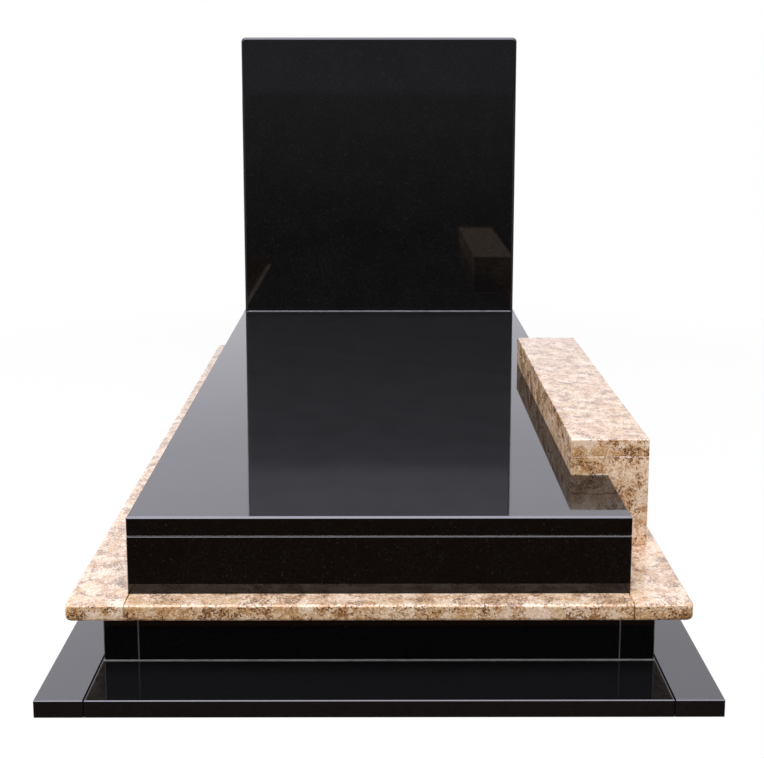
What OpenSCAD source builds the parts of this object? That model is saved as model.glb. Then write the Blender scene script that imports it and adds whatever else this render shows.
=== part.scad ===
// Grave monument in black and pink granite.
// A low stepped base of cut stones carries a long cover slab, an upright
// headstone at its head end and a stone bench along its right side.
// Millimetres. +Z is up, the foot end faces -Y, the bench is on the +X side.
// The origin is on the ground, under the middle of the base.

/* [Base surround] */
// Thickness of the surround strips
base_t = 35; // [25:1:60]
// How far the surround stands out in front of and behind the plinth
base_end_margin = 150; // [80:5:250]
// How far the surround stands out at each side of the plinth
base_side_margin = 100; // [80:5:250]

/* [Plinth] */
// Height of the plinth walls
plinth_h = 115; // [60:5:250]
// Thickness of the plinth walls
plinth_wall_t = 70; // [40:5:90]
// How far the plinth stands in behind the faces of the upper box, front and rear
plinth_setback = 15; // [0:1:30]
// How far the plinth stands out beyond the upper box at each side
plinth_outset = 55; // [40:1:70]

/* [Ledge] */
// Thickness of the pink ledge
ledge_t = 34; // [20:1:50]
// How far the ledge stands out in front of and behind the upper box
ledge_end_overhang = 50; // [30:1:90]
// How far the ledge stands out at each side of the upper box
ledge_side_overhang = 115; // [100:1:130]
// Radius of the ledge's upper edge
ledge_top_r = 6; // [2:0.5:8]
// Radius of the ledge's lower edge
ledge_foot_r = 8; // [3:0.5:12]
// Radius of the ledge's corners seen from above
ledge_corner_r = 15; // [13:1:40]

/* [Upper box] */
// Width of the upper box and of the cover slab
box_w = 1000; // [900:5:1100]
// Height of the upper box's walls
box_h = 120; // [80:5:300]
// Thickness of the upper box's walls
box_wall_t = 60; // [40:5:90]

/* [Cover slab] */
// Length of the cover slab
slab_l = 1990; // [1600:5:2200]
// Thickness of the cover slab
slab_t = 40; // [30:1:80]
// Bevel along the cover slab's upper edges
slab_bevel = 3.5; // [2:0.5:8]

/* [Headstone] */
// How far the headstone stands in from each side of the upper box
headstone_inset = 5; // [0:5:150]
// Height of the headstone
headstone_h = 1000; // [600:10:1300]
// Thickness of the headstone
headstone_t = 80; // [60:5:100]
// How far the head wall stands out in front of and behind the headstone
head_wall_lap = 10; // [5:1:40]
// Radius of the headstone's upper corners
headstone_corner_r = 16; // [15:1:60]
// Radius along the headstone's front and rear edges
headstone_edge_r = 9; // [3:0.5:14]

/* [Bench] */
// Length of the bench
bench_l = 980; // [500:10:1200]
// Width of the bench
bench_w = 170; // [120:5:220]
// How far the bench stands out beyond the cover slab's side
bench_outset = 87; // [60:1:95]
// Thickness of the bench's beam where it lies on the cover slab
bench_beam_t = 42; // [30:1:80]
// Thickness of the bench's top plate
bench_top_t = 38; // [30:1:60]
// Distance from the cover slab's foot end to the bench
bench_setback = 237; // [50:1:500]

/* [Edges and joints] */
// Bevel along the free edges of the surround, walls and bench
arris = 1.5; // [1:0.5:4]
// Bevel along edges that meet in a sealed joint
seam = 2; // [1:0.5:4]
// Open joint between neighbouring strips of the surround and the ledge
joint_gap = 1; // [0.5:0.5:2]
// Bevel along the open joints of the surround and the ledge
joint_bevel = 1.5; // [0.5:0.5:3]
// How far each strip of the surround and the ledge reaches in past the walls on and under it
strip_lap = 15; // [5:1:40]
// Leg length of the sealant beads
bead = 3; // [2:0.5:6]

/* [Hidden] */
$fn = 48;

BLACK_GRANITE = "#17171a";
PINK_GRANITE = "#d8b48c";
SEALANT = "#8f8f92";

// Lengths, each derived from the upper box that the monument is set out from
head_wall_t = headstone_t + 2 * head_wall_lap;
box_l = slab_l + head_wall_t;
plinth_l = box_l - 2 * plinth_setback;
base_l = plinth_l + 2 * base_end_margin;
ledge_l = box_l + 2 * ledge_end_overhang;

// Widths, each derived from the upper box too
plinth_w = box_w + 2 * plinth_outset;
base_w = plinth_w + 2 * base_side_margin;
ledge_w = box_w + 2 * ledge_side_overhang;
headstone_w = box_w - 2 * headstone_inset;
headstone_face_w = headstone_w - 2 * headstone_edge_r;

// Strips of the surround, all cut to one width
base_strip_w = max(base_end_margin, base_side_margin) + plinth_wall_t + strip_lap;
base_end_l = plinth_w + 2 * (bead + joint_bevel);

// Strips of the ledge, which reach in past the walls of the upper box and of the plinth
ledge_side_w = ledge_side_overhang + max(box_wall_t, plinth_wall_t - plinth_outset) + strip_lap;
ledge_end_w = ledge_end_overhang + max(box_wall_t, plinth_wall_t + plinth_setback) + strip_lap;
ledge_end_l = box_w - 2 * (joint_gap + joint_bevel);

// Levels
base_top = base_t;
plinth_top = base_top + plinth_h;
ledge_top = plinth_top + ledge_t;
box_top = ledge_top + box_h;
slab_top = box_top + slab_t;
beam_top = slab_top + bench_beam_t;

// Places along the length
box_front = -box_l / 2;
box_rear = box_l / 2;
slab_rear = box_front + slab_l;
headstone_front = slab_rear + (head_wall_t - headstone_t) / 2;
bench_front = box_front + bench_setback;
bench_rear = bench_front + bench_l;

// Places across the width
plinth_joint = plinth_w / 2 - plinth_wall_t;
bench_right = box_w / 2 + bench_outset;
bench_left = bench_right - bench_w;

// ---------- shared shapes ----------

// Rectangle with 45 degree bevels, its lower left corner at the origin
module beveled_outline(w, h, top, foot) {
    polygon([
        [foot, 0], [w - foot, 0], [w, foot], [w, h - top],
        [w - top, h], [top, h], [0, h - top], [0, foot]
    ]);
}

// Extrudes a drawing in X and Z along +Y
module along_y(length) {
    translate([0, length, 0]) rotate([90, 0, 0]) linear_extrude(length) children();
}

// Extrudes a drawing in Y and Z along +X
module along_x(length) {
    rotate([90, 0, 90]) linear_extrude(length) children();
}

// Cut stone between two opposite corners, with all its edges beveled
module cut_stone(low, high, top = arris, foot = arris, side = arris) {
    size = high - low;
    translate(low) intersection() {
        linear_extrude(size.z) beveled_outline(size.x, size.y, side, side);
        along_y(size.y) beveled_outline(size.x, size.z, top, foot);
        along_x(size.x) beveled_outline(size.y, size.z, top, foot);
    }
}

// Cut stone that is centred across the monument
module centred_stone(width, front, rear, base, crown, top = arris, foot = arris, side = arris) {
    cut_stone([-width / 2, front, base], [width / 2, rear, crown], top, foot, side);
}

// Rectangle centred across, with round corners of one radius above and another below
module rounded_outline(w, h, top_r, foot_r) {
    half = w / 2;
    translate([-half + foot_r, 0]) square([w - 2 * foot_r, h - top_r]);
    translate([-half, foot_r]) square([w, h - top_r - foot_r]);
    translate([-half + top_r, foot_r]) square([w - 2 * top_r, h - foot_r]);
    for (side = [-1, 1]) {
        translate([side * (half - foot_r), foot_r]) circle(foot_r);
        translate([side * (half - top_r), h - top_r]) circle(top_r);
    }
}

// Plate centred on the origin and standing on it, with round corners seen from above.
// Its upper and lower edges are rounded all the way round, also along the corners.
module rounded_plate(w, l, t, corner_r, top_r, foot_r) {
    across = w - 2 * corner_r;
    along = l - 2 * corner_r;
    translate([0, -along / 2, 0]) along_y(along) rounded_outline(w, t, top_r, foot_r);
    translate([-across / 2, 0, 0]) along_x(across) rounded_outline(l, t, top_r, foot_r);
    for (side = [-1, 1], end = [-1, 1])
        translate([side * across / 2, end * along / 2, 0])
            rotate(atan2(end, side) - 45)
                rotate_extrude(angle = 90) intersection() {
                    rounded_outline(2 * corner_r, t, top_r, foot_r);
                    square([corner_r, t]);
                }
}

// Section of the groove over an open joint, below a level surface and centred on the joint
module groove_outline() {
    half = joint_gap / 2;
    polygon([
        [-half, -joint_bevel], [half, -joint_bevel],
        [half + joint_bevel + 1, 1], [-half - joint_bevel - 1, 1]
    ]);
}

// Grooves over the two open joints at a plate's front end: along its top and down its edge
module joint_grooves(plate_l, top_level, t, end_l, end_w) {
    for (side = [-1, 1])
        translate([side * (end_l + joint_gap) / 2, -plate_l / 2, top_level]) {
            along_y(end_w) groove_outline();
            translate([0, 0, -t]) linear_extrude(t) rotate(180) groove_outline();
        }
}

// What is drawn at the foot end, and the same mirrored to the head end
module both_ends() {
    children();
    mirror([0, 1, 0]) children();
}

// End strip of a plate, at its front edge: the part of the plate between the side strips
module end_strip(plate_l, bottom, t, length, width) {
    intersection() {
        children();
        translate([-length / 2, -plate_l / 2, bottom]) cube([length, width, t]);
    }
}

// Side strip of a plate, on the +X side, over the plate's whole length.
// Both its ends are notched to take the end strips, with an open joint between.
module side_strip(plate_w, plate_l, bottom, t, width, end_l, end_w) {
    difference() {
        intersection() {
            children();
            translate([plate_w / 2 - width, -plate_l / 2, bottom]) cube([width, plate_l, t]);
        }
        for (end = [-1, 1])
            translate([0, end * (plate_l / 2 - end_w / 2), bottom + t / 2])
                cube([end_l + 2 * joint_gap, end_w + 2 * joint_gap, t + 2], center = true);
    }
}

// Three-sided bead of sealant in the corner between a level top and a wall that faces -Y
module bead_run(length) {
    along_x(length) polygon([[0, 0], [-bead, 0], [0, bead]]);
}

// Section of the sealant that fills a sealed joint flush, with the stone on the +Y side
module seam_outline() {
    polygon([[-seam, 0], [seam, 0], [0, seam]]);
}

// ---------- base surround ----------

// The whole surround in one plate, before it is divided into strips
module base_form() {
    difference() {
        centred_stone(base_w, -base_l / 2, base_l / 2, 0, base_top);
        both_ends() joint_grooves(base_l, base_top, base_t, base_end_l, base_strip_w);
    }
}

// End strip, drawn at the foot end, just wider than the plinth and its sealant
module base_end() {
    color(BLACK_GRANITE) end_strip(base_l, 0, base_t, base_end_l, base_strip_w) base_form();
}

module base_side() {
    color(BLACK_GRANITE)
        side_strip(base_w, base_l, 0, base_t, base_strip_w, base_end_l, base_strip_w) base_form();
}

module base_front() { base_end(); }
module base_rear() { mirror([0, 1, 0]) base_end(); }
module base_left() { mirror([1, 0, 0]) base_side(); }
module base_right() { base_side(); }

// ---------- plinth ----------

// Side wall over the whole length of the plinth, drawn on the +X side
module plinth_side() {
    color(BLACK_GRANITE) cut_stone(
        [plinth_joint, -plinth_l / 2, base_top], [plinth_w / 2, plinth_l / 2, plinth_top], side = seam
    );
}

// End wall between the two side walls
module plinth_end(front) {
    color(BLACK_GRANITE) centred_stone(
        2 * plinth_joint, front, front + plinth_wall_t, base_top, plinth_top, side = seam
    );
}

module plinth_front() { plinth_end(-plinth_l / 2); }
module plinth_rear() { plinth_end(plinth_l / 2 - plinth_wall_t); }
module plinth_left() { mirror([1, 0, 0]) plinth_side(); }
module plinth_right() { plinth_side(); }

// Sealant along the foot of the plinth's front, and up both joints between its walls
module plinth_bead_front() {
    color(SEALANT) translate([0, -plinth_l / 2, base_top]) {
        translate([-plinth_w / 2, 0, 0]) bead_run(plinth_w);
        for (side = [-1, 1])
            translate([side * plinth_joint, 0, 0]) linear_extrude(plinth_h) seam_outline();
    }
}

// Sealant along the foot of the plinth's right side
module plinth_bead_right() {
    color(SEALANT) translate([plinth_w / 2, -plinth_l / 2, base_top]) rotate(90) bead_run(plinth_l);
}

module plinth_bead_rear() { mirror([0, 1, 0]) plinth_bead_front(); }
module plinth_bead_left() { mirror([1, 0, 0]) plinth_bead_right(); }

// ---------- ledge ----------

// The whole ledge in one plate, before it is divided into strips
module ledge_form() {
    difference() {
        translate([0, 0, plinth_top])
            rounded_plate(ledge_w, ledge_l, ledge_t, ledge_corner_r, ledge_top_r, ledge_foot_r);
        both_ends() joint_grooves(ledge_l, ledge_top, ledge_t, ledge_end_l, ledge_end_w);
    }
}

// End strip, drawn at the foot end, so long that its joints end level with the upper box
module ledge_end() {
    color(PINK_GRANITE) end_strip(ledge_l, plinth_top, ledge_t, ledge_end_l, ledge_end_w) ledge_form();
}

module ledge_side() {
    color(PINK_GRANITE)
        side_strip(ledge_w, ledge_l, plinth_top, ledge_t, ledge_side_w, ledge_end_l, ledge_end_w)
            ledge_form();
}

module ledge_front() { ledge_end(); }
module ledge_rear() { mirror([0, 1, 0]) ledge_end(); }
module ledge_left() { mirror([1, 0, 0]) ledge_side(); }
module ledge_right() { ledge_side(); }

// ---------- upper box ----------

module box_front_wall() {
    color(BLACK_GRANITE)
        centred_stone(box_w, box_front, box_front + box_wall_t, ledge_top, box_top, top = seam);
}

// Side wall between the front wall and the head wall, drawn on the +X side
module box_side_wall() {
    color(BLACK_GRANITE) cut_stone(
        [box_w / 2 - box_wall_t, box_front + box_wall_t, ledge_top],
        [box_w / 2, slab_rear, box_top], top = seam
    );
}

module box_right_wall() { box_side_wall(); }
module box_left_wall() { mirror([1, 0, 0]) box_side_wall(); }

// Thick wall at the head end, as high as the cover slab's top, that the headstone stands on
module head_wall() {
    color(BLACK_GRANITE) centred_stone(box_w, slab_rear, box_rear, ledge_top, slab_top);
}

module cover_slab() {
    color(BLACK_GRANITE)
        centred_stone(box_w, box_front, slab_rear, box_top, slab_top, top = slab_bevel, foot = seam);
}

// Sealant in the joint under the cover slab's front edge
module slab_bead_front() {
    length = box_w - 2 * seam;
    color(SEALANT) translate([-length / 2, box_front, box_top]) along_x(length)
        rotate(-90) seam_outline();
}

// Sealant in the joint under the cover slab's right edge
module slab_bead_right() {
    color(SEALANT) translate([box_w / 2, box_front + seam, box_top]) along_y(slab_l - seam)
        rotate(90) seam_outline();
}

module slab_bead_left() { mirror([1, 0, 0]) slab_bead_right(); }

// Sealant in the joint between the cover slab and the head wall, level with their tops
module slab_bead_rear() {
    length = box_w - 2 * slab_bevel;
    color(SEALANT) translate([-length / 2, slab_rear, slab_top]) along_x(length)
        polygon([[-slab_bevel, 0], [0, -slab_bevel], [0, -arris], [arris, 0]]);
}

// ---------- headstone ----------

// Upright tablet: a rounded plate on its edge, cut off level at its foot
module headstone() {
    below = 2 * headstone_corner_r;
    color(BLACK_GRANITE) translate([0, headstone_front, slab_top]) intersection() {
        translate([0, headstone_t, (headstone_h - below) / 2]) rotate([90, 0, 0]) rounded_plate(
            headstone_w, headstone_h + below, headstone_t,
            headstone_corner_r, headstone_edge_r, headstone_edge_r
        );
        translate([-headstone_w / 2, 0, 0]) cube([headstone_w, headstone_t, headstone_h]);
    }
}

// Sealant along the foot of the headstone's face
module headstone_bead_front() {
    color(SEALANT) translate([-headstone_face_w / 2, headstone_front, slab_top])
        bead_run(headstone_face_w);
}

// Sealant along the foot of the headstone's back
module headstone_bead_rear() {
    color(SEALANT) translate([headstone_face_w / 2, headstone_front + headstone_t, slab_top])
        rotate(180) bead_run(headstone_face_w);
}

// ---------- bench ----------

// Section of the bench's body: a beam across the cover slab's edge, and a leg beside it
module bench_section() {
    inner = box_w / 2;
    polygon([
        [inner, ledge_top], [bench_right - arris, ledge_top], [bench_right, ledge_top + arris],
        [bench_right, beam_top - arris], [bench_right - arris, beam_top],
        [bench_left + arris, beam_top], [bench_left, beam_top - arris],
        [bench_left, slab_top + arris], [bench_left + arris, slab_top], [inner, slab_top]
    ]);
}

// Bench's body in one stone, with its ends beveled like its long edges
module bench_body() {
    color(PINK_GRANITE) translate([0, bench_front, 0]) intersection() {
        along_y(bench_l) bench_section();
        translate([bench_left, 0, ledge_top]) along_x(bench_w)
            beveled_outline(bench_l, beam_top - ledge_top, arris, arris);
        translate([bench_left, 0, ledge_top]) linear_extrude(beam_top - ledge_top)
            beveled_outline(bench_w, bench_l, arris, arris);
    }
}

module bench_top() {
    color(PINK_GRANITE)
        cut_stone([bench_left, bench_front, beam_top], [bench_right, bench_rear, beam_top + bench_top_t]);
}

base_front();
base_rear();
base_left();
base_right();
plinth_front();
plinth_rear();
plinth_left();
plinth_right();
plinth_bead_front();
plinth_bead_rear();
plinth_bead_left();
plinth_bead_right();
ledge_front();
ledge_rear();
ledge_left();
ledge_right();
box_front_wall();
box_left_wall();
box_right_wall();
head_wall();
cover_slab();
slab_bead_front();
slab_bead_rear();
slab_bead_left();
slab_bead_right();
headstone();
headstone_bead_front();
headstone_bead_rear();
bench_body();
bench_top();
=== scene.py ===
"""Looks of a grave monument in black and pink granite, around its CAD frame.

The CAD nodes keep their shape and get their stone here. The runs of sealant in
the joints are made by Geometry Nodes and stand for the plain CAD ones.
Everything is in metres, in the frame of the CAD.
"""

from __future__ import annotations

import logging
import math
from dataclasses import dataclass
from enum import Enum
from typing import Any, Sequence

import bpy
from mathutils import Euler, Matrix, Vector


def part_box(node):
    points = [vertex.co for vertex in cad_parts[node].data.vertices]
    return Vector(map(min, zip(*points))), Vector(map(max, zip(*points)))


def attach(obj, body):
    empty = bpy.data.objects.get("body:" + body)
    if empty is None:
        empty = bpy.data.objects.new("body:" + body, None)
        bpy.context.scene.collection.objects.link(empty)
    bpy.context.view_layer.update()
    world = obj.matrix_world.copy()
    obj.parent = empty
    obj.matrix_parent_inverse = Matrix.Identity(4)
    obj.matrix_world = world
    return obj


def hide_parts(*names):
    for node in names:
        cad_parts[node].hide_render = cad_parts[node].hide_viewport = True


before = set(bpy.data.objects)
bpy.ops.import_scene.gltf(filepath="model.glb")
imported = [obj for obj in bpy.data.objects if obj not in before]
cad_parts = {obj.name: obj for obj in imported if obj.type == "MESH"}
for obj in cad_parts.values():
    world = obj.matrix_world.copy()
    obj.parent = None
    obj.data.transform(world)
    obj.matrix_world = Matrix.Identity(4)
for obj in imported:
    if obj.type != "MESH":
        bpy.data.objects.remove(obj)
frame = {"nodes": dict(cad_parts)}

log = logging.getLogger("grave_monument")

Colour = tuple[float, float, float]
Point = tuple[float, float, float]
# The two ends of a range
Span = tuple[float, float]

WHITE: Colour = (1.0, 1.0, 1.0)
BODY = "root"


class Slot(Enum):
    """Material slots of the record."""

    BLACK = "black_granite"
    PINK = "pink_granite"
    SEALANT = "sealant"


class Bed(Enum):
    """How a run of sealant lies against the stones."""

    CORNER = "in the corner between a level top and a wall"
    GROOVE = "flush with two stones, in the groove between them"


# ---------- shader maths ----------


class Signal:
    """A number that travels between nodes, with Python's operators for its maths."""

    def __init__(self, graph: Graph, socket: bpy.types.NodeSocket) -> None:
        """Wraps a socket.

        Args:
            graph: the graph that the socket belongs to.
            socket: the output socket that carries the number.
        """
        self.graph = graph
        self.socket = socket

    def _math(self, operation: str, *values: Any) -> Signal:
        """Adds one Math node.

        Args:
            operation: the node's operation.
            values: its inputs, in order.

        Returns:
            The node's result.
        """
        sockets = dict(enumerate(values))
        return self.graph.signal("ShaderNodeMath", {"operation": operation}, sockets)

    def __add__(self, other: Any) -> Signal:
        """Adds other."""
        return self._math("ADD", self, other)

    __radd__ = __add__

    def __mul__(self, other: Any) -> Signal:
        """Multiplies by other."""
        return self._math("MULTIPLY", self, other)

    __rmul__ = __mul__

    def __sub__(self, other: Any) -> Signal:
        """Takes other away."""
        return self._math("SUBTRACT", self, other)

    def __rsub__(self, other: Any) -> Signal:
        """Takes this away from other."""
        return self._math("SUBTRACT", other, self)

    def __pow__(self, other: Any) -> Signal:
        """Raises to a power."""
        return self._math("POWER", self, other)

    def __abs__(self) -> Signal:
        """Drops the sign."""
        return self._math("ABSOLUTE", self)

    def at_most(self, limit: float) -> Signal:
        """Cuts off what is over a limit."""
        return self._math("MINIMUM", self, limit)

    def ramp(self, low: float, high: float, start: float = 0.0, end: float = 1.0) -> Signal:
        """Maps a stretch of values to another, smoothly at both ends.

        Args:
            low: the value where the ramp starts.
            high: the value where it ends.
            start: the result at and below low.
            end: the result at and above high.

        Returns:
            The mapped number.
        """
        settings = {"interpolation_type": "SMOOTHSTEP"}
        sockets = dict(enumerate((self, low, high, start, end)))
        return self.graph.signal("ShaderNodeMapRange", settings, sockets)

    def fade(self, low: float, high: float, start: float = 1.0) -> Signal:
        """Falls smoothly from a start at low to 0 at high."""
        return self.ramp(low, high, start, 0.0)


@dataclass(frozen=True)
class Noise:
    """Soft noise: the size of its lumps, and how many finer octaves it has and how strong."""

    size: float
    octaves: float = 2.0
    roughness: float = 0.5


class Graph:
    """Adds nodes and links to one node tree."""

    # Sockets of a Mix node that blends colours
    MIX_FACTOR, MIX_A, MIX_B, MIX_RESULT = 0, 6, 7, 2
    # How far up a face looks, as a sine, where it starts to count as level and where it is
    TILTED, LEVEL = 0.8, 1.0

    def __init__(self, tree: bpy.types.NodeTree) -> None:
        """Empties a tree and starts on it.

        Args:
            tree: the node tree of a material or a world.
        """
        self.tree = tree
        tree.nodes.clear()

    def node(self, kind: str, settings: dict[str, Any] | None = None,
             sockets: dict[str | int, Any] | None = None) -> bpy.types.Node:
        """Adds a node of any type.

        Args:
            kind: the node's type.
            settings: its properties, which are set first.
            sockets: values or links of its inputs, by name or number.

        Returns:
            The new node.
        """
        made = self.tree.nodes.new(kind)
        for name, value in (settings or {}).items():
            if name == "stops":
                self._set_stops(made.color_ramp, value)
            else:
                setattr(made, name, value)
        for name, value in (sockets or {}).items():
            self.feed(made.inputs[name], value)
        return made

    @staticmethod
    def _set_stops(ramp: bpy.types.ColorRamp, stops: Sequence[tuple[float, float]]) -> None:
        """Gives a colour ramp grey stops.

        Args:
            ramp: the ramp, which has two stops as yet.
            stops: places from 0 to 1, each with its brightness.
        """
        while len(ramp.elements) < len(stops):
            ramp.elements.new(1.0)
        for element, (spot, level) in zip(ramp.elements, stops):
            element.position = spot
            element.color = (level, level, level, 1.0)

    def signal(self, kind: str, settings: dict[str, Any] | None = None,
               sockets: dict[str | int, Any] | None = None, output: str | int = 0) -> Signal:
        """Adds a node of any type and wraps one of its outputs.

        Args:
            kind: the node's type.
            settings: its properties.
            sockets: values or links of its inputs.
            output: the output that is wanted, by name or number.

        Returns:
            That output.
        """
        return Signal(self, self.node(kind, settings, sockets).outputs[output])

    def feed(self, socket: bpy.types.NodeSocket, value: Any) -> None:
        """Gives an input socket its value or its link.

        Args:
            socket: the input socket.
            value: a Signal, an output socket, a number, a colour or a vector.
        """
        if isinstance(value, Signal):
            value = value.socket
        if isinstance(value, bpy.types.NodeSocket):
            self.tree.links.new(value, socket)
        elif socket.type == "RGBA" and len(value) == 3:
            socket.default_value = (*value, 1.0)
        else:
            socket.default_value = value

    def blend(self, factor: Any, first: Any, second: Any, mode: str = "MIX") -> Signal:
        """Blends two colours.

        Args:
            factor: how much of the second shows.
            first: the first colour.
            second: the second colour.
            mode: the way of blending.

        Returns:
            The blended colour.
        """
        settings = {"data_type": "RGBA", "blend_type": mode}
        sockets = {self.MIX_FACTOR: factor, self.MIX_A: first, self.MIX_B: second}
        return self.signal("ShaderNodeMix", settings, sockets, self.MIX_RESULT)

    def noise(self, place: Signal, noise: Noise) -> Signal:
        """Adds soft noise.

        Args:
            place: the coordinates.
            noise: what the noise is like.

        Returns:
            A number about 0.5.
        """
        sockets = {"Vector": place, "Scale": 1 / noise.size, "Detail": noise.octaves,
                   "Roughness": noise.roughness}
        return self.signal("ShaderNodeTexNoise", {}, sockets, "Fac")

    def grains(self, place: Signal, size: float) -> Signal:
        """Divides a surface into grains, each with its own random number.

        Args:
            place: the coordinates.
            size: the size of one grain.

        Returns:
            A number from 0 to 1 that is the same all over a grain.
        """
        sockets = {"Vector": place, "Scale": 1 / size}
        colour = self.signal("ShaderNodeTexVoronoi", {}, sockets, "Color")
        return self.signal("ShaderNodeSeparateColor", {}, {0: colour})

    def place(self, shift: Point) -> Signal:
        """Gives the object's own coordinates, moved so that each stone has its own pattern.

        Args:
            shift: how far the pattern is moved.

        Returns:
            The coordinates.
        """
        here = self.signal("ShaderNodeTexCoord", {}, {}, "Object")
        return self.signal("ShaderNodeMapping", {}, {"Vector": here, "Location": shift})

    def warp(self, place: Signal, size: float, reach: float) -> Signal:
        """Bends a pattern out of its regular lie.

        Args:
            place: the coordinates.
            size: the size of one bend.
            reach: how far a point is moved.

        Returns:
            The bent coordinates.
        """
        sway = self.signal("ShaderNodeTexNoise", {}, {"Vector": place, "Scale": 1 / size}, "Color")
        return self.signal("ShaderNodeVectorMath", {"operation": "MULTIPLY_ADD"},
                           {0: sway, 1: (reach, reach, reach), 2: place})

    def axes(self, vector: Signal) -> list[Signal]:
        """Gives a vector's X, Y and Z."""
        return list(map(self.wrap, self.node("ShaderNodeSeparateXYZ", {}, {0: vector}).outputs))

    def rays(self, *kinds: str) -> list[Signal]:
        """Tells kinds of rays apart.

        Args:
            kinds: the kinds that are wanted, such as Camera or Glossy.

        Returns:
            For each kind, a number that is 1 on its rays.
        """
        path = self.node("ShaderNodeLightPath")
        return [self.wrap(path.outputs[f"Is {kind} Ray"]) for kind in kinds]

    def wrap(self, socket: bpy.types.NodeSocket) -> Signal:
        """Wraps an output socket of this tree."""
        return Signal(self, socket)

    def level_faces(self) -> Signal:
        """Marks the faces that look up, from 0 to 1."""
        normal = self.signal("ShaderNodeNewGeometry", {}, {}, "Normal")
        return self.axes(normal)[2].ramp(self.TILTED, self.LEVEL)

    def bump(self, height: Signal, depth: float) -> Signal:
        """Turns a height into a normal.

        Args:
            height: the height, from 0 to 1.
            depth: what a height of 1 means.

        Returns:
            The normal.
        """
        return self.signal("ShaderNodeBump", {}, {"Height": height, "Distance": depth}, "Normal")

    def surface(self, sockets: dict[str | int, Any]) -> None:
        """Ends a material in one Principled shader.

        Args:
            sockets: the shader's values and links.
        """
        self.finish(self.node("ShaderNodeBsdfPrincipled", {}, sockets))

    def mixture(self, factor: Signal, first: bpy.types.Node, second: bpy.types.Node) -> None:
        """Ends a material in a mixture of two shaders.

        Args:
            factor: how much of the second shows.
            first: the first shader.
            second: the second shader.
        """
        sockets = {0: factor, 1: first.outputs[0], 2: second.outputs[0]}
        self.finish(self.node("ShaderNodeMixShader", {}, sockets))

    def finish(self, shader: bpy.types.Node, kind: str = "Material") -> None:
        """Ends the tree in a shader.

        Args:
            shader: the last shader.
            kind: what the tree belongs to, Material or World.
        """
        self.node("ShaderNodeOutput" + kind, {}, {"Surface": shader.outputs[0]})


def new_material(name: str) -> tuple[bpy.types.Material, Graph]:
    """Makes an empty material.

    Args:
        name: the material's name.

    Returns:
        The material and the graph of its nodes.
    """
    material = bpy.data.materials.new(name)
    material.use_nodes = True
    return material, Graph(material.node_tree)


# ---------- objects ----------


def new_object(name: str, data: bpy.types.ID) -> bpy.types.Object:
    """Makes an object.

    Args:
        name: the object's name.
        data: its mesh, curve, lamp or camera.

    Returns:
        The object, linked to the scene.
    """
    made = bpy.data.objects.new(name, data)
    bpy.context.scene.collection.objects.link(made)
    return made


def new_sheet(name: str, outline: Sequence[Point]) -> bpy.types.Object:
    """Makes a flat piece of the studio.

    Args:
        name: the piece's name.
        outline: its four corners, in order.

    Returns:
        The piece, linked to the scene.
    """
    mesh = bpy.data.meshes.new(name)
    mesh.from_pydata(outline, [], [(0, 1, 2, 3)])
    return new_object(name, mesh)


# ---------- finishes ----------


@dataclass(frozen=True)
class BlackGranite:
    """Fine-grained black granite with a mirror polish, lighter on its level faces: partly dust,
    partly painted light from above.
    """

    body: Colour = (0.0015, 0.0013, 0.0013)
    crystal: Colour = (0.0056, 0.0053, 0.0054)
    fleck: Colour = (0.014, 0.013, 0.014)
    # Dust with painted top light: the lighter colour that level faces pass to
    dust_and_top_light: Colour = (0.0094, 0.009, 0.0094)

    # Crystals and flecks
    crystal_size: float = 0.0021
    crystal_contrast: float = 2.5
    fleck_size: float = 0.00273
    fleck_share: float = 0.03

    # Clouds, in which there are more crystals and more of the dust and painted top light
    cloud: Noise = Noise(0.09, 3.0)
    cloud_edge: Span = (0.3, 0.7)
    crystal_cover: Span = (0.5, 1.3)
    dust_and_top_light_cover: Span = (0.4, 0.8)

    # Polish
    polish: float = 0.03
    grain_dullness: float = 0.015
    waves: Noise = Noise(0.004, 1.0)
    wave_depth: float = 0.000003

    def make(self, name: str, shift: Point) -> bpy.types.Material:
        """Makes the stone.

        Args:
            name: the material's name.
            shift: where in the block this stone was cut.

        Returns:
            The material.
        """
        material, graph = new_material(name)
        place = graph.place(shift)
        grain = graph.grains(place, self.crystal_size)
        cloud = graph.noise(place, self.cloud)
        shade = grain ** self.crystal_contrast * cloud.ramp(*self.cloud_edge, *self.crystal_cover)
        stone = graph.blend(shade, self.body, self.crystal)
        flecks = graph.grains(place, self.fleck_size).ramp(1 - self.fleck_share, 1.0)
        stone = graph.blend(flecks, stone, self.fleck)
        # Level faces are painted lighter, partly for dust and partly for the stronger light from
        # above
        dust_and_top_light_mask = graph.level_faces() * cloud.ramp(*self.cloud_edge, *self.dust_and_top_light_cover)
        stone = graph.blend(dust_and_top_light_mask, stone, self.dust_and_top_light)
        graph.surface({
            "Base Color": stone,
            "Roughness": self.polish + grain * self.grain_dullness,
            "Normal": graph.bump(graph.noise(place, self.waves), self.wave_depth),
        })
        return material


@dataclass(frozen=True)
class Mineral:
    """One mineral of the pink granite.

    Every grain of the stone has a number from 0 to 1, which the clusters raise. The mineral
    shows where that number passes the edge.
    """

    colour: Colour
    gathering: float
    edge: Span
    strength: float

    def lay(self, graph: Graph, stone: Signal, grain: Signal, crowd: Signal) -> Signal:
        """Lays the mineral over the stone.

        Args:
            graph: the stone's graph.
            stone: the colour so far.
            grain: each grain's number.
            crowd: 1 in the clusters and 0 between them.

        Returns:
            The colour with the mineral.
        """
        cover = (grain + crowd * self.gathering).ramp(*self.edge) * self.strength
        return graph.blend(cover, stone, self.colour)


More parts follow.
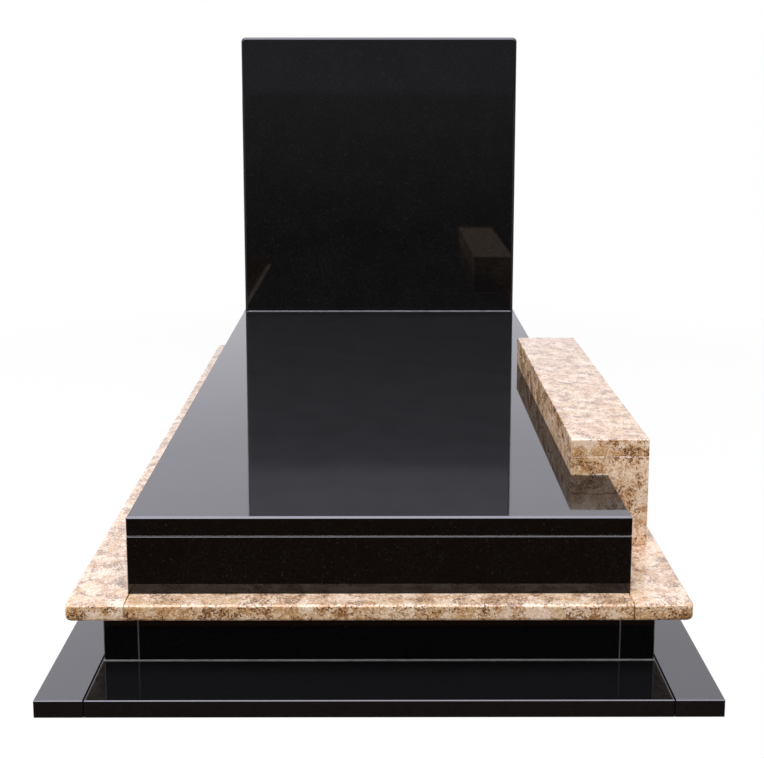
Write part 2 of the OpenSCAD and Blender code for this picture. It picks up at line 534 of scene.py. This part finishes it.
@dataclass(frozen=True)
class PinkGranite:
    """Cream and pink granite with orange-tan clouds and clusters of rusty and brown grains, and a
    painted whitish sheen on its level faces.
    """

    pale: Colour = (0.79, 0.585, 0.4)
    cream: Colour = (0.64, 0.415, 0.22)
    chalk: Colour = (0.92, 0.78, 0.63)
    tan: Colour = (0.5, 0.265, 0.1)
    # Painted sheen: the whitish colour laid on level faces for the sky they mirror
    painted_sheen: Colour = (0.78, 0.67, 0.58)

    # Minerals, and the sizes of the three kinds of grain
    rust: Mineral = Mineral((0.36, 0.16, 0.052), gathering=0.5, edge=(1.0, 1.05), strength=0.8)
    brown: Mineral = Mineral((0.15, 0.066, 0.026), gathering=0.4, edge=(1.01, 1.05), strength=0.9)
    dark: Mineral = Mineral((0.06, 0.029, 0.015), gathering=0.3, edge=(0.98, 1.02), strength=1.0)
    coarse_size: float = 0.004
    medium_size: float = 0.003
    small_size: float = 0.0022

    # Pale clouds in the cream, tan haze, and the clusters of dark grains
    cloud: Noise = Noise(0.05, 3.0, 0.55)
    cloud_edge: Span = (0.4, 0.6)
    haze: Noise = Noise(0.03, 6.0, 0.7)
    haze_edge: Span = (0.56, 0.68)
    haze_gathering: float = 0.08
    haze_grain: float = 0.16
    cluster: Noise = Noise(0.035, 5.0, 0.65)
    cluster_edge: Span = (0.42, 0.7)
    bend: float = 0.02

    # How much of each colour shows
    chalk_edge: Span = (0.7, 0.8)
    chalk_strength: float = 0.6
    tan_strength: float = 0.85
    shading: float = 0.5
    # How strongly the painted sheen lies on the level faces
    painted_sheen_strength: float = 0.14

    # Polish
    polish: float = 0.11
    grain_dullness: float = 0.06
    grain_depth: float = 0.00001

    def make(self, name: str, shift: Point) -> bpy.types.Material:
        """Makes the stone.

        Args:
            name: the material's name.
            shift: where in the block this stone was cut.

        Returns:
            The material.
        """
        material, graph = new_material(name)
        place = graph.place(shift)
        other = graph.place((shift[1], shift[2], shift[0]))
        cloud = graph.noise(graph.warp(other, self.cloud.size, self.bend), self.cloud)
        haze = graph.noise(graph.warp(place, self.cluster.size, self.bend), self.haze)
        crowd = graph.noise(place, self.cluster).ramp(*self.cluster_edge)
        coarse = graph.grains(place, self.coarse_size)
        medium = graph.grains(other, self.medium_size)
        small = graph.grains(place, self.small_size)

        stone = graph.blend(cloud.ramp(*self.cloud_edge), self.cream, self.pale)
        chalky = small.ramp(*self.chalk_edge) * self.chalk_strength
        stone = graph.blend(chalky, stone, self.chalk)
        tanned = haze + crowd * self.haze_gathering + coarse * self.haze_grain
        tanned = tanned.ramp(*self.haze_edge) * self.tan_strength
        stone = graph.blend(tanned, stone, self.tan)
        for mineral, grain in ((self.rust, coarse), (self.brown, medium), (self.dark, small)):
            stone = mineral.lay(graph, stone, grain, crowd)
        shade = graph.signal("ShaderNodeCombineColor", {}, {0: medium, 1: medium, 2: medium})
        stone = graph.blend(self.shading, stone, shade, "SOFT_LIGHT")
        # Painted sheen on the level faces, for the sky they mirror
        stone = graph.blend(graph.level_faces() * self.painted_sheen_strength, stone, self.painted_sheen)
        graph.surface({
            "Base Color": stone,
            "Roughness": self.polish + small * self.grain_dullness,
            "Normal": graph.bump(small, self.grain_depth),
        })
        return material


@dataclass(frozen=True)
class Sealant:
    """Grey silicone, tooled by hand."""

    colour: Colour = (0.125, 0.121, 0.117)
    grime: Colour = (0.0875, 0.0847, 0.0819)
    smear: Noise = Noise(0.02, 3.0)
    grime_edge: Span = (0.35, 0.7)
    roughness: float = 0.35
    smear_dullness: float = 0.3
    smear_depth: float = 0.0004

    def make(self, name: str) -> bpy.types.Material:
        """Makes the sealant.

        Args:
            name: the material's name.

        Returns:
            The material.
        """
        material, graph = new_material(name)
        smear = graph.noise(graph.place((0.0, 0.0, 0.0)), self.smear)
        graph.surface({
            "Base Color": graph.blend(smear.ramp(*self.grime_edge), self.colour, self.grime),
            "Roughness": smear * self.smear_dullness + self.roughness,
            "Normal": graph.bump(smear, self.smear_depth),
        })
        return material


# ---------- sealant runs ----------


@dataclass
class SealantRun:
    """Sealant along one or more paths, which stands for the plain CAD run.

    The section lies to the right of its path, seen from above, before it is tilted.
    """

    name: str
    bed: Bed
    paths: Sequence[Sequence[Vector]]
    replaced: Sequence[str]
    leg: float
    closed: bool = False
    tilt: float = 0.0
    step: float = 0.012
    sag: float = 0.2
    face_parts: int = 4
    unevenness: float = 0.15
    swells_per_metre: float = 22.0
    seed: float = 3.0

    def section(self) -> list[Vector]:
        """Gives the section at a leg length of 1: x out from the stone and y down.

        Returns:
            The corners of the section, the hollow face last.
        """
        if self.bed is Bed.CORNER:
            spots = (0.0, 0.0), (0.0, -1.0), (1.0, 0.0)
        else:
            spots = (-1.0, 0.0), (0.0, -1.0), (0.0, 1.0)
        back, start, end = map(Vector, spots)
        out = Vector((end.y - start.y, start.x - end.x)).normalized()
        shares = [number / self.face_parts for number in range(self.face_parts + 1)]
        return [back, *(start.lerp(end, share) - out * self.sag * math.sin(math.pi * share)
                        for share in shares)]

    def tree(self, material: bpy.types.Material) -> bpy.types.NodeTree:
        """Builds the Geometry Nodes tree that sweeps the section along the paths.

        Args:
            material: what the run is made of.

        Returns:
            The tree, with the inputs Section, Leg, Unevenness and Seed.
        """
        tree = bpy.data.node_groups.new(self.name + "_tree", "GeometryNodeTree")
        for name, kind in (("Geometry", "Geometry"), ("Section", "Object"), ("Leg", "Float"),
                           ("Unevenness", "Float"), ("Seed", "Float")):
            tree.interface.new_socket(name, in_out="INPUT", socket_type="NodeSocket" + kind)
        tree.interface.new_socket("Geometry", in_out="OUTPUT", socket_type="NodeSocketGeometry")
        graph = Graph(tree)
        given = graph.node("NodeGroupInput").outputs
        hand = graph.signal("ShaderNodeTexNoise", {"noise_dimensions": "4D"},
                            {"W": given["Seed"], "Scale": self.swells_per_metre}, "Fac")
        size = graph.wrap(given["Leg"]) * (1.0 - graph.wrap(given["Unevenness"]) * hand)
        section = graph.node("GeometryNodeObjectInfo", {}, {"Object": given["Section"]})
        swept = graph.node("GeometryNodeCurveToMesh", {}, {
            "Curve": given["Geometry"], "Profile Curve": section.outputs["Geometry"],
            "Scale": size, "Fill Caps": True,
        })
        real = graph.node("GeometryNodeRealizeInstances", {}, {0: swept.outputs[0]})
        dressed = graph.node("GeometryNodeSetMaterial", {},
                             {"Geometry": real.outputs[0], "Material": material})
        graph.node("NodeGroupOutput", {}, {0: dressed.outputs[0]})
        return tree

    def spaced(self, path: Sequence[Vector]) -> list[Vector]:
        """Adds points to a path, so that its sealant can swell and shrink between the corners.

        Args:
            path: the corners.

        Returns:
            The corners and the points between them.
        """
        points = []
        for start, end in zip(path, [*path[1:], path[0]] if self.closed else path[1:]):
            count = max(1, round((end - start).length / self.step))
            points += [start.lerp(end, number / count) for number in range(count)]
        return points if self.closed else [*points, path[-1]]

    def curve(self, name: str, paths: Sequence[Sequence[Vector]], closed: bool) -> bpy.types.Object:
        """Makes a curve object of straight stretches.

        Args:
            name: the object's name.
            paths: its points, path by path.
            closed: whether a path's end joins its start.

        Returns:
            The object, linked to the scene.
        """
        data = bpy.data.curves.new(name, "CURVE")
        data.dimensions = "3D"
        data.twist_mode = "Z_UP"
        for path in paths:
            spline = data.splines.new("POLY")
            spline.points.add(len(path) - 1)
            for point, corner in zip(spline.points, path):
                point.co = (*corner.to_3d(), 1.0)
                point.tilt = self.tilt
            spline.use_cyclic_u = closed
        return new_object(name, data)

    def build(self, material: bpy.types.Material) -> bpy.types.Object:
        """Makes the run as a plain mesh that stands for its CAD nodes.

        Args:
            material: what the run is made of.

        Returns:
            The piece.
        """
        spaced = [self.spaced(path) for path in self.paths]
        path = self.curve(self.name + "_path", spaced, self.closed)
        section = self.curve(self.name + "_section", [self.section()], True)
        modifier = path.modifiers.new("sweep", "NODES")
        modifier.node_group = self.tree(material)
        wanted = {"Section": section, "Leg": self.leg, "Unevenness": self.unevenness,
                  "Seed": self.seed}
        for socket in modifier.node_group.interface.items_tree:
            if socket.in_out == "INPUT" and socket.name in wanted:
                modifier[socket.identifier] = wanted[socket.name]
        bpy.context.view_layer.update()
        evaluated = path.evaluated_get(bpy.context.evaluated_depsgraph_get())
        mesh = bpy.data.meshes.new_from_object(evaluated)
        for helper in (path, section):
            bpy.data.objects.remove(helper)
        piece = new_object(self.name, mesh)
        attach(piece, BODY)
        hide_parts(*self.replaced)
        return piece


# ---------- monument ----------


@dataclass
class Monument:
    """The stones of the monument, dressed as they are cut from their blocks."""

    nodes: dict[str, bpy.types.Object]
    black: BlackGranite = BlackGranite()
    # The base's own tones, with less dust and painted top light on its level faces
    base: BlackGranite = BlackGranite(
        body=(0.005, 0.0046, 0.0047), crystal=(0.01, 0.0092, 0.0098), dust_and_top_light=(0.0045, 0.0043, 0.0047))
    pink: PinkGranite = PinkGranite()
    sealant: Sealant = Sealant()
    pink_stones: tuple[str, ...] = ("ledge", "bench")
    block_step: Point = (0.731, 0.417, 0.293)
    wall_bevel: float = 0.002
    sunk: float = 0.0005
    headstone_leg: float = 0.7

    def granite(self, name: str) -> tuple[Slot, BlackGranite | PinkGranite]:
        """Tells what a stone is cut from.

        Args:
            name: the stone's node.

        Returns:
            The stone's slot and its finish.
        """
        if name.startswith(self.pink_stones):
            return Slot.PINK, self.pink
        return Slot.BLACK, self.base if name.startswith("base") else self.black

    def dress(self) -> None:
        """Gives every stone its own cut of granite."""
        for number, (name, stone) in enumerate(sorted(self.nodes.items())):
            if "bead" in name:
                continue
            slot, finish = self.granite(name)
            shift = tuple(number * step for step in self.block_step)
            stone.data.materials.clear()
            stone.data.materials.append(finish.make(name + "_granite", shift))
            log.info("%s is cut from %s", name, slot.value)

    def plinth_runs(self) -> list[SealantRun]:
        """Plans the sealant round the plinth's foot and up the joints between its walls.

        Returns:
            The run round the foot, and those up the joints in front and behind.
        """
        left, front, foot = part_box("plinth_left")[0]
        right, rear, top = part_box("plinth_right")[1]
        bead_low, bead_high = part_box("plinth_bead_left")
        bevel = self.wall_bevel
        ring = [(left + bevel, front), (right - bevel, front), (right, front + bevel),
                (right, rear - bevel), (right - bevel, rear), (left + bevel, rear),
                (left, rear - bevel), (left, front + bevel)]
        runs = [SealantRun("plinth_foot_sealant", Bed.CORNER,
                           [[Vector((*spot, foot)) for spot in ring]],
                           ["plinth_bead_left", "plinth_bead_right"],
                           bead_high.z - bead_low.z, closed=True)]
        joints = [corner.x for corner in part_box("plinth_front")]
        ends = (("front", front + self.sunk, -math.pi / 2), ("rear", rear - self.sunk, math.pi / 2))
        for side, y, tilt in ends:
            paths = [[Vector((x, y, foot)), Vector((x, y, top))] for x in joints]
            runs.append(SealantRun(f"plinth_joint_sealant_{side}", Bed.GROOVE, paths,
                                   [f"plinth_bead_{side}"], bevel - self.sunk, tilt=tilt))
        return runs

    def slab_runs(self) -> list[SealantRun]:
        """Plans the sealant under the cover slab's edges and behind it.

        Returns:
            The run under the edges and the one behind.
        """
        low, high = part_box("cover_slab")
        groove_low, groove_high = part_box("slab_bead_front")
        level = (groove_low.z + groove_high.z) / 2
        bevel = self.wall_bevel
        left, front, right = low.x + self.sunk, low.y + self.sunk, high.x - self.sunk
        round_slab = [(left, high.y), (left, front + bevel), (left + bevel, front),
                      (right - bevel, front), (right, front + bevel), (right, high.y)]
        under = SealantRun("slab_sealant", Bed.GROOVE,
                           [[Vector((*spot, level)) for spot in round_slab]],
                           [f"slab_bead_{side}" for side in ("left", "front", "right")],
                           groove_high.z - level - self.sunk)
        seam_low, seam_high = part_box("slab_bead_rear")
        middle = (seam_low.y + seam_high.y) / 2
        ends = [Vector((x, middle, high.z - self.sunk)) for x in (seam_low.x, seam_high.x)]
        behind = SealantRun("slab_sealant_rear", Bed.GROOVE, [ends], ["slab_bead_rear"],
                            seam_high.y - middle - self.sunk, tilt=-math.pi / 2)
        return [under, behind]

    def headstone_runs(self) -> list[SealantRun]:
        """Plans the sealant along both sides of the headstone's foot.

        Returns:
            The run in front and the one behind.
        """
        runs = []
        for side, wall, way in (("front", 1, 1), ("rear", 0, -1)):
            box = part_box(f"headstone_bead_{side}")
            foot = box[0].z
            ends = [Vector((corner.x, box[wall].y, foot)) for corner in box][::way]
            leg = (box[1].z - foot) * self.headstone_leg
            runs.append(SealantRun(f"headstone_sealant_{side}", Bed.CORNER, [ends],
                                   [f"headstone_bead_{side}"], leg))
        return runs

    def seal(self) -> None:
        """Fills the joints with sealant."""
        material = self.sealant.make("grey_sealant")
        for run in self.plinth_runs() + self.slab_runs() + self.headstone_runs():
            piece = run.build(material)
            faces = len(piece.data.polygons)
            log.info("%s lies %s, with %d faces", piece.name, run.bed.value, faces)


# ---------- studio ----------


@dataclass(frozen=True)
class Camera:
    """The camera at the foot end, whose frame is moved down over the object."""

    place: Point = (-0.0005, -3.2013, 1.2022)
    down: float = math.radians(7.80)
    right: float = 0.0027
    lens: float = 53.87
    frame_drop: float = 0.19

    def build(self) -> None:
        """Sets up the camera as the scene's own."""
        data = bpy.data.cameras.new("camera")
        data.lens = self.lens
        data.shift_y = -self.frame_drop
        camera = new_object("camera", data)
        camera.location = self.place
        camera.rotation_euler = Euler((math.pi / 2 - self.down, 0.0, -self.right))
        bpy.context.scene.camera = camera


@dataclass(frozen=True)
class Softbox:
    """A soft square lamp that is aimed at one point."""

    name: str
    place: Point
    aim: Point
    size: float
    power: float
    colour: Colour = (1.0, 1.05, 1.22)

    def build(self) -> None:
        """Hangs the lamp, unseen by the camera and by the polish."""
        data = bpy.data.lights.new(self.name, "AREA")
        data.size = self.size
        data.energy = self.power
        data.color = self.colour
        lamp = new_object(self.name, data)
        lamp.location = self.place
        lamp.rotation_euler = (Vector(self.aim) - lamp.location).to_track_quat("-Z", "Y").to_euler()
        lamp.visible_camera = False
        lamp.visible_glossy = False


@dataclass(frozen=True)
class Floor:
    """A plain pale floor that shows as white but keeps the object's shadow.

    The polish sees it darker, and darkest before the object.
    """

    size: float = 120.0
    colour: Colour = (0.86, 0.86, 0.86)
    bounced: Colour = (0.35, 0.35, 0.35)
    mirrored: Colour = (0.5, 0.5, 0.5)
    mirrored_front: Colour = (0.09, 0.05, 0.03)
    front_end: Span = (-1.15, -1.05)
    front_side: Span = (1.2, 2.4)
    shadow: float = 0.05
    shadow_edge: Span = (2.2, 3.2)

    def build(self) -> None:
        """Lays the floor."""
        half = self.size / 2
        floor = new_sheet("floor", [(-half, -half, 0), (half, -half, 0),
                                    (half, half, 0), (-half, half, 0)])
        material, graph = new_material("floor_paint")
        here = graph.signal("ShaderNodeTexCoord", {}, {}, "Object")
        across, along, _ = graph.axes(here)
        reach = graph.signal("ShaderNodeVectorMath", {"operation": "LENGTH"}, {0: here}, "Value")
        camera, transmission, glossy, diffuse = graph.rays(
            "Camera", "Transmission", "Glossy", "Diffuse")
        before = along.fade(*self.front_end) * abs(across).fade(*self.front_side)
        shade = graph.blend(before, self.mirrored, self.mirrored_front)
        paint = graph.node("ShaderNodeBsdfDiffuse", {}, {
            "Color": graph.blend(diffuse, self.colour, self.bounced)})
        shine = graph.node("ShaderNodeEmission", {}, {
            "Color": graph.blend(glossy, WHITE, shade)})
        shadow = reach.fade(*self.shadow_edge, self.shadow)
        seen = (camera + transmission) * (1 - shadow) + glossy
        graph.mixture(seen, paint, shine)
        floor.data.materials.append(material)


@dataclass(frozen=True)
class FrontBoard:
    """A dark board before the foot end, which only the polish sees."""

    distance: float = 2.6
    half_width: float = 1.3
    height: float = 1.12
    soft_end: Span = (1.0, 1.3)
    soft_top: Span = (1.06, 1.14)
    low_level: float = 0.04
    rise: float = 0.14

    def build(self) -> None:
        """Stands the board up, with soft ends and a soft top."""
        x, y, z = self.half_width, -self.distance, self.height
        board = new_sheet("front_board", [(-x, y, 0), (x, y, 0), (x, y, z), (-x, y, z)])
        for kind in ("camera", "diffuse", "transmission", "shadow", "volume_scatter"):
            setattr(board, "visible_" + kind, False)
        material, graph = new_material("front_board_paint")
        across, _, up = graph.axes(graph.signal("ShaderNodeTexCoord", {}, {}, "Object"))
        solid = abs(across).fade(*self.soft_end) * up.fade(*self.soft_top)
        clear = graph.node("ShaderNodeBsdfTransparent")
        paint = graph.node("ShaderNodeEmission", {}, {"Strength": up * self.rise + self.low_level})
        graph.mixture(solid, clear, paint)
        board.data.materials.append(material)


@dataclass(frozen=True)
class Sky:
    """One half of the surroundings as the polish mirrors it.

    A level is a height over the horizon, in degrees, and the brightness there.
    """

    tint: Colour
    levels: tuple[tuple[float, float], ...]

    def level(self, graph: Graph, up: Signal) -> Signal:
        """Gives the brightness in a direction.

        Args:
            graph: the world's graph.
            up: the sine of the direction's height over the horizon.

        Returns:
            The brightness.
        """
        peak = max(level for _, level in self.levels)
        stops = [(math.sin(math.radians(height)), level / peak) for height, level in self.levels]
        return graph.signal("ShaderNodeValToRGB", {"stops": stops}, {0: up}, "Color") * peak


@dataclass(frozen=True)
class Surroundings:
    """White all round, which polished faces see graded like open sky.

    Matt faces get a soft fill from it that is warmer from below.
    """

    front: Sky = Sky((0.98, 0.965, 1.12), (
        (0.0, 0.26), (2.0, 0.26), (11.7, 0.72), (14.5, 1.15), (16.1, 1.65), (17.7, 2.1),
        (19.2, 3.0), (19.4, 5.2), (20.0, 5.8), (21.4, 7.2), (45.0, 7.5), (68.0, 10.0),
        (78.0, 7.0), (90.0, 2.0)))
    back: Sky = Sky((1.0, 0.99, 1.09), (
        (0.0, 1.3), (12.0, 1.3), (17.9, 1.36), (21.2, 1.55), (31.0, 2.0), (50.0, 3.0),
        (70.0, 3.0), (90.0, 2.0)))

    # Where one half passes into the other, and how the front one dims towards the sides
    back_edge: Span = (-0.4, 0.4)
    side_limit: float = 1.5
    side_edge: Span = (0.3, 0.6)
    right_dimming: float = 0.34

    # The fill, which is strongest from the front left and above
    fill: float = 0.48
    fill_back_dimming: float = 0.6
    fill_right_dimming: float = 0.3
    fill_rise: float = 0.6
    fill_level: float = 0.6
    low_fill: Colour = (1.0, 0.84, 0.67)
    low_edge: Span = (0.0, 0.7)

    def mirrored(self, graph: Graph, way: list[Signal], behind: Signal) -> Signal:
        """Gives the brightness that the polish sees.

        Args:
            graph: the world's graph.
            way: the direction's X, Y and Z.
            behind: 0 in front of the object and 1 behind it.

        Returns:
            The brightness.
        """
        across, _, up = way
        front = self.front.level(graph, up)
        aside = abs(across).ramp(*self.side_edge)
        front = front * (1 - aside) + front.at_most(self.side_limit) * aside
        level = self.back.level(graph, up) * behind + front * (1 - behind)
        return level * (1 - across * self.right_dimming)

    def soft(self, way: list[Signal]) -> Signal:
        """Gives the brightness of the fill.

        Args:
            way: the direction's X, Y and Z.

        Returns:
            The brightness.
        """
        across, along, up = way
        level = (1 - along * self.fill_back_dimming) * (1 - across * self.fill_right_dimming)
        return level * (up * self.fill_rise + self.fill_level) * self.fill

    def build(self) -> None:
        """Puts the surroundings round the object."""
        world = bpy.data.worlds.new("surroundings")
        bpy.context.scene.world = world
        world.use_nodes = True
        world.cycles.sampling_method = "NONE"
        graph = Graph(world.node_tree)
        way = graph.axes(graph.signal("ShaderNodeTexCoord", {}, {}, "Generated"))
        behind = way[1].ramp(*self.back_edge)
        camera, transmission, glossy = graph.rays("Camera", "Transmission", "Glossy")
        direct = camera + transmission
        strength = (direct + glossy * self.mirrored(graph, way, behind)
                    + (1 - direct - glossy) * self.soft(way))
        tint = graph.blend(behind, self.front.tint, self.back.tint)
        warm = graph.blend(way[2].ramp(*self.low_edge) + direct, self.low_fill, WHITE)
        light = graph.node("ShaderNodeBackground", {}, {
            "Color": graph.blend(glossy, warm, tint), "Strength": strength})
        graph.finish(light, "World")


@dataclass(frozen=True)
class Studio:
    """Everything round the object."""

    camera: Camera = Camera()
    floor: Floor = Floor()
    surroundings: Surroundings = Surroundings()
    front_board: FrontBoard = FrontBoard()
    softboxes: tuple[Softbox, ...] = (
        Softbox("key_softbox", (0.0, -2.4, 4.6), (0.0, -0.2, 0.3), size=2.2, power=173.0),
        Softbox("left_softbox", (-3.2, -0.9, 0.7), (0.0, 0.0, 0.5), size=1.4, power=88.0),
        Softbox("right_softbox", (3.0, -1.2, 0.8), (0.0, 0.0, 0.4), size=1.4, power=33.0),
    )

    def build(self) -> None:
        """Sets up the studio."""
        bpy.context.scene.view_settings.view_transform = "Standard"
        for part in (self.camera, self.floor, self.surroundings, self.front_board):
            part.build()
        for softbox in self.softboxes:
            softbox.build()
            log.info("%s hangs at %s", softbox.name, softbox.place)


def main() -> None:
    """Builds the studio and dresses the monument."""
    logging.basicConfig(level=logging.INFO, format="%(message)s")
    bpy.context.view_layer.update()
    Studio().build()
    monument = Monument(frame["nodes"])
    monument.dress()
    monument.seal()


if __name__ == "__main__":
    main()
